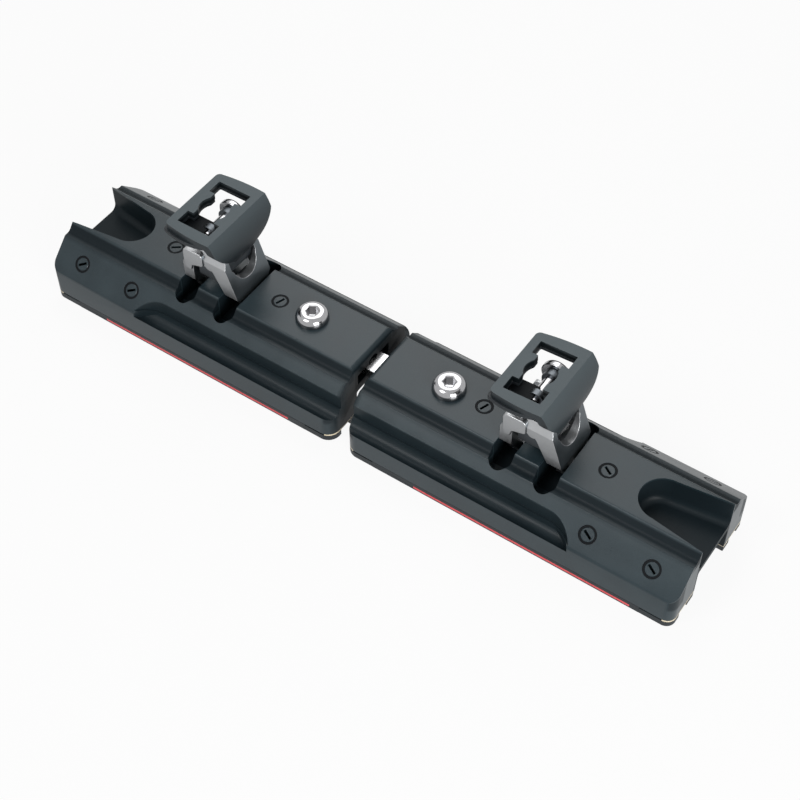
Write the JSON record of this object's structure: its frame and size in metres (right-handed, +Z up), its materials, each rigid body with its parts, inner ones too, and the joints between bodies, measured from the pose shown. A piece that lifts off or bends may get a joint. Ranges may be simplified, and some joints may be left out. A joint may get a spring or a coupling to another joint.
{
  "type": "mainsheet traveller car",
  "caption": "Coupled ball-bearing mainsheet traveller cars in black aluminium, joined by a stainless link, with stand-up toggles that tilt and take mainsheet blocks.",
  "frame": {"origin": "midway between the cars on the underside of the ball retainers", "axes": "+X along the track towards the second car, +Y across the track to the side away from the red lines, +Z up"},
  "size_m": [0.382, 0.0756, 0.0859],
  "materials": {
    "black_anodised": "black anodised, satin",
    "black_moulding": "moulded, fine grain",
    "cream_moulding": "moulded",
    "ball_steel": "polished",
    "red_line": "let-in line",
    "stainless_fastener": "machined",
    "stainless_pin": "ground",
    "stainless_casting": "tumbled casting",
    "stainless_bar": "brushed plate",
    "hood_moulding": "moulded, satin",
    "grey_moulding": "moulded"
  },
  "bodies": {
    "car_a": {"ball_guide_inner_far_a": "cream_moulding", "ball_guide_inner_near_a": "cream_moulding", "ball_guide_outer_far_a": "cream_moulding", "ball_guide_outer_near_a": "cream_moulding", "ball_retainer_far_a": "black_moulding", "ball_retainer_near_a": "black_moulding", "ball_row_far_a": "ball_steel", "ball_row_near_a": "ball_steel", "base_pin_a": "stainless_pin", "cap_screws_a": "stainless_fastener", "car_body_a": "black_anodised", "coupler_bush_a": "grey_moulding", "coupler_screw_a": "stainless_fastener", "deck_plugs_a": "stainless_fastener", "end_cap_inner_far_a": "black_moulding", "end_cap_inner_near_a": "black_moulding", "end_cap_outer_far_a": "black_moulding", "end_cap_outer_near_a": "black_moulding", "red_stripe_a": "red_line", "side_plugs_a": "stainless_fastener"},
    "link": {"coupler_link": "stainless_bar"},
    "car_b": {"ball_guide_inner_far_b": "cream_moulding", "ball_guide_inner_near_b": "cream_moulding", "ball_guide_outer_far_b": "cream_moulding", "ball_guide_outer_near_b": "cream_moulding", "ball_retainer_far_b": "black_moulding", "ball_retainer_near_b": "black_moulding", "ball_row_far_b": "ball_steel", "ball_row_near_b": "ball_steel", "base_pin_b": "stainless_pin", "cap_screws_b": "stainless_fastener", "car_body_b": "black_anodised", "coupler_bush_b": "grey_moulding", "coupler_screw_b": "stainless_fastener", "deck_plugs_b": "stainless_fastener", "end_cap_inner_far_b": "black_moulding", "end_cap_inner_near_b": "black_moulding", "end_cap_outer_far_b": "black_moulding", "end_cap_outer_near_b": "black_moulding", "red_stripe_b": "red_line", "side_plugs_b": "stainless_fastener"},
    "base_a": {"toggle_base_a": "stainless_casting", "yoke_pin_a": "stainless_pin"},
    "base_b": {"toggle_base_b": "stainless_casting", "yoke_pin_b": "stainless_pin"},
    "head_a": {"block_pin_a": "stainless_pin", "hood_liner_a": "grey_moulding", "toggle_hood_a": "hood_moulding", "toggle_yoke_a": "stainless_casting"},
    "head_b": {"block_pin_b": "stainless_pin", "hood_liner_b": "grey_moulding", "toggle_hood_b": "hood_moulding", "toggle_yoke_b": "stainless_casting"}
  },
  "joints": [
    {"name": "link_turn_a", "type": "hinge", "parent": "car_a", "child": "link", "pos_m": [-0.042, 0, 0.0277], "axis": [0, 0, 1], "range_deg": [-4, 4]},
    {"name": "link_turn_b", "type": "hinge", "parent": "link", "child": "car_b", "pos_m": [0.042, 0, 0.0277], "axis": [0, 0, 1], "range_deg": [-4, 4]},
    {"name": "base_tilt_a", "type": "hinge", "parent": "car_a", "child": "base_a", "pos_m": [-0.097, 0, 0.0298], "axis": [1, 0, 0], "range_deg": [-25, 25]},
    {"name": "base_tilt_b", "type": "hinge", "parent": "car_b", "child": "base_b", "pos_m": [0.097, 0, 0.0298], "axis": [1, 0, 0], "range_deg": [-25, 25]},
    {"name": "head_tilt_a", "type": "hinge", "parent": "base_a", "child": "head_a", "pos_m": [-0.097, 0, 0.0557], "axis": [0, 1, 0], "range_deg": [-30, 30]},
    {"name": "head_tilt_b", "type": "hinge", "parent": "base_b", "child": "head_b", "pos_m": [0.097, 0, 0.0557], "axis": [0, 1, 0], "range_deg": [-23, 37]}
  ]
}
